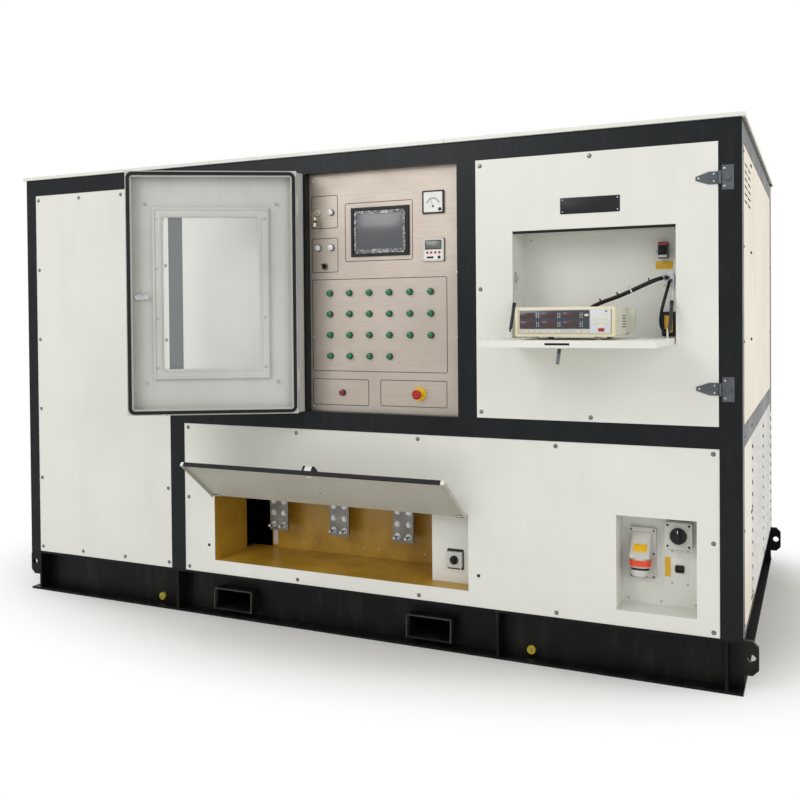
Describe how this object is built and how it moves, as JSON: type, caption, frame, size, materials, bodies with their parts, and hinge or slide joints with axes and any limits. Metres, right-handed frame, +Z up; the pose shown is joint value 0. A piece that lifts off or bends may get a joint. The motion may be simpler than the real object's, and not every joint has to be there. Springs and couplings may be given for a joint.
{
  "type": "generator load bank",
  "caption": "Skid-mounted resistive load bank cabinet with an open control door, drop-leaf meter shelf, cable hatch, socket recess and louvred ends.",
  "frame": {"origin": "underside of the skid, at the middle of its length and width", "axes": "+X to the right along the front, +Y from the front to the rear, +Z up"},
  "size_m": [3.56, 2.5254, 2.121],
  "materials": {
    "panel_white": "satin",
    "frame_blue_black": "satin",
    "base_black": "satin",
    "door_inner_grey": "satin",
    "plate_champagne": "brushed",
    "zinc_steel": "satin",
    "dark_stainless": "satin",
    "copper_grey": "satin",
    "board_yellow": "matte",
    "black_plastic": "matte",
    "grey_plastic": "satin",
    "ivory_plastic": "satin",
    "white_plastic": "satin",
    "orange_plastic": "gloss",
    "red_plastic": "gloss",
    "green_lens": "gloss",
    "seal_rubber": "matte",
    "cord_rubber": "matte",
    "clear_pane": "clear",
    "brass_key": "polished"
  },
  "bodies": {
    "enclosure": {"base_deck": "base_black", "base_rails": "base_black", "contactor_rack": "grey_plastic", "control_plate": "plate_champagne", "estop_base": "board_yellow", "fan_shroud": "zinc_steel", "fork_pockets": "base_black", "frame_posts": "frame_blue_black", "frame_rails": "frame_blue_black", "front_panels": "panel_white", "hatch_boards": "board_yellow", "hinge_fixed_leaves": "dark_stainless", "hinge_stile": "door_inner_grey", "intake_louvre_panel": "panel_white", "lashing_lugs": "base_black", "left_side_panels": "panel_white", "lower_front_panel": "panel_white", "panel_instruments": "black_plastic", "panel_lamps": "green_lens", "rear_panels": "panel_white", "recess_pans": "panel_white", "resistor_bank": "zinc_steel", "right_side_panels": "panel_white", "roof_sheets": "panel_white", "socket_body": "grey_plastic", "switch_bodies": "grey_plastic", "terminal_bolts": "zinc_steel", "terminal_plates": "copper_grey"},
    "control_door": {"door_panel": "door_inner_grey", "door_gasket": "seal_rubber", "door_window_pane": "clear_pane", "door_window_frame": "door_inner_grey"},
    "door_lock": {"door_lock": "zinc_steel"},
    "service_door": {"service_door": "panel_white", "hinge_straps": "dark_stainless", "meter_compartment": "panel_white", "breaker_body": "black_plastic", "cable_gland": "grey_plastic", "power_adapter": "black_plastic", "meter_loom": "cord_rubber", "adapter_lead": "cord_rubber"},
    "breaker_toggle": {"breaker_toggle": "black_plastic"},
    "drop_shelf": {"shelf_panel": "panel_white", "meter_case": "ivory_plastic", "meter_front": "ivory_plastic"},
    "shelf_latch": {"shelf_latch": "zinc_steel"},
    "meter_button": {"meter_power_button": "red_plastic"},
    "left_rod": {"left_strut_rod": "zinc_steel"},
    "right_rod": {"right_strut_rod": "zinc_steel"},
    "left_tube": {"left_strut_tube": "zinc_steel"},
    "right_tube": {"right_strut_tube": "zinc_steel"},
    "hatch_flap": {"flap_panel": "door_inner_grey"},
    "hatch_latch": {"flap_latch": "white_plastic"},
    "hatch_knob": {"hatch_switch_knob": "black_plastic"},
    "isolator_knob": {"isolator_knob": "black_plastic"},
    "socket_ring": {"socket_ring": "orange_plastic"},
    "mode_selector": {"mode_selector": "black_plastic"},
    "control_key": {"control_key": "brass_key"},
    "estop_button": {"estop_button": "red_plastic"},
    "fan_rotor": {"fan_rotor": "black_plastic"}
  },
  "joints": [
    {"name": "control_door_hinge", "type": "hinge", "parent": "enclosure", "child": "control_door", "pos_m": [-0.092, -1.085, 1.4975], "axis": [0, 0, -1], "range_deg": [-151, 24]},
    {"name": "door_lock_turn", "type": "hinge", "parent": "control_door", "child": "door_lock", "pos_m": [-0.67625, -1.40885, 1.4825], "axis": [-0.4848, 0.8746, 0], "range_deg": [0, 90]},
    {"name": "service_door_hinge", "type": "hinge", "parent": "enclosure", "child": "service_door", "pos_m": [1.6535, -1.0415, 1.4975], "axis": [0, 0, 1], "range_deg": [0, 120]},
    {"name": "breaker_toggle_rock", "type": "hinge", "parent": "service_door", "child": "breaker_toggle", "pos_m": [1.428, -0.8805, 1.64], "axis": [1, 0, 0], "range_deg": [-25, 25]},
    {"name": "shelf_hinge", "type": "hinge", "parent": "service_door", "child": "drop_shelf", "pos_m": [1.183, -1.035, 1.278], "axis": [-1, 0, 0], "range_deg": [0, 90], "deforming": ["meter_loom"]},
    {"name": "shelf_latch_rock", "type": "hinge", "parent": "drop_shelf", "child": "shelf_latch", "pos_m": [1.16, -1.429, 1.2707], "axis": [-1, 0, 0], "range_deg": [0, 30]},
    {"name": "meter_button_press", "type": "slide", "parent": "drop_shelf", "child": "meter_button", "axis": [0, 1, 0], "range_m": [0, 0.0025], "stiffness_N_per_m": 800},
    {"name": "left_rod_swing", "type": "hinge", "parent": "service_door", "child": "left_rod", "pos_m": [0.88, -0.998, 1.543], "axis": [1, 0, 0], "range_deg": [-0.5, 31.97]},
    {"name": "left_tube_slide", "type": "slide", "parent": "left_rod", "child": "left_tube", "axis": [0, -0.4506, -0.8927], "range_m": [-0.04232, 0.0005]},
    {"name": "right_rod_swing", "type": "hinge", "parent": "service_door", "child": "right_rod", "pos_m": [1.486, -0.998, 1.543], "axis": [1, 0, 0], "range_deg": [-0.5, 31.97]},
    {"name": "right_tube_slide", "type": "slide", "parent": "right_rod", "child": "right_tube", "axis": [0, -0.4506, -0.8927], "range_m": [-0.04232, 0.0005]},
    {"name": "hatch_flap_hinge", "type": "hinge", "parent": "enclosure", "child": "hatch_flap", "pos_m": [0.043, -1.038, 0.5707], "axis": [-1, 0, 0], "range_deg": [-128, 20]},
    {"name": "hatch_latch_turn", "type": "hinge", "parent": "hatch_flap", "child": "hatch_latch", "pos_m": [0.043, -1.24604, 0.73323], "axis": [0, 0.6157, 0.788], "range_deg": [-90, 0]},
    {"name": "hatch_switch_turn", "type": "hinge", "parent": "enclosure", "child": "hatch_knob", "pos_m": [0.579, -0.957, 0.362], "axis": [0, -1, 0], "range_deg": [0, 90]},
    {"name": "isolator_turn", "type": "hinge", "parent": "enclosure", "child": "isolator_knob", "pos_m": [1.492, -0.953, 0.545], "axis": [0, -1, 0], "range_deg": [0, 90]},
    {"name": "socket_ring_turn", "type": "hinge", "parent": "enclosure", "child": "socket_ring", "pos_m": [1.354, -0.975, 0.462], "axis": [0, -0.1392, -0.9903], "range_deg": [0, 60]},
    {"name": "mode_selector_turn", "type": "hinge", "parent": "enclosure", "child": "mode_selector", "pos_m": [-0.007, -0.995, 1.613], "axis": [0, -1, 0], "range_deg": [-45, 45]},
    {"name": "control_key_turn", "type": "hinge", "parent": "enclosure", "child": "control_key", "pos_m": [-0.041, -0.995, 1.85], "axis": [0, -1, 0], "range_deg": [0, 90]},
    {"name": "estop_press", "type": "slide", "parent": "enclosure", "child": "estop_button", "axis": [0, 1, 0], "range_m": [0, 0.006], "stiffness_N_per_m": 1500},
    {"name": "fan_spin", "type": "hinge", "parent": "enclosure", "child": "fan_rotor", "pos_m": [-1.33, 0.2, 0.85], "axis": [1, 0, 0], "continuous": true}
  ],
  "couplings": [
    {"joint": "left_rod_swing", "follows": "shelf_hinge", "ratio": 0.34968},
    {"joint": "left_tube_slide", "follows": "shelf_hinge", "m_per_rad": -0.026621},
    {"joint": "right_rod_swing", "follows": "shelf_hinge", "ratio": 0.34968},
    {"joint": "right_tube_slide", "follows": "shelf_hinge", "m_per_rad": -0.026621}
  ]
}
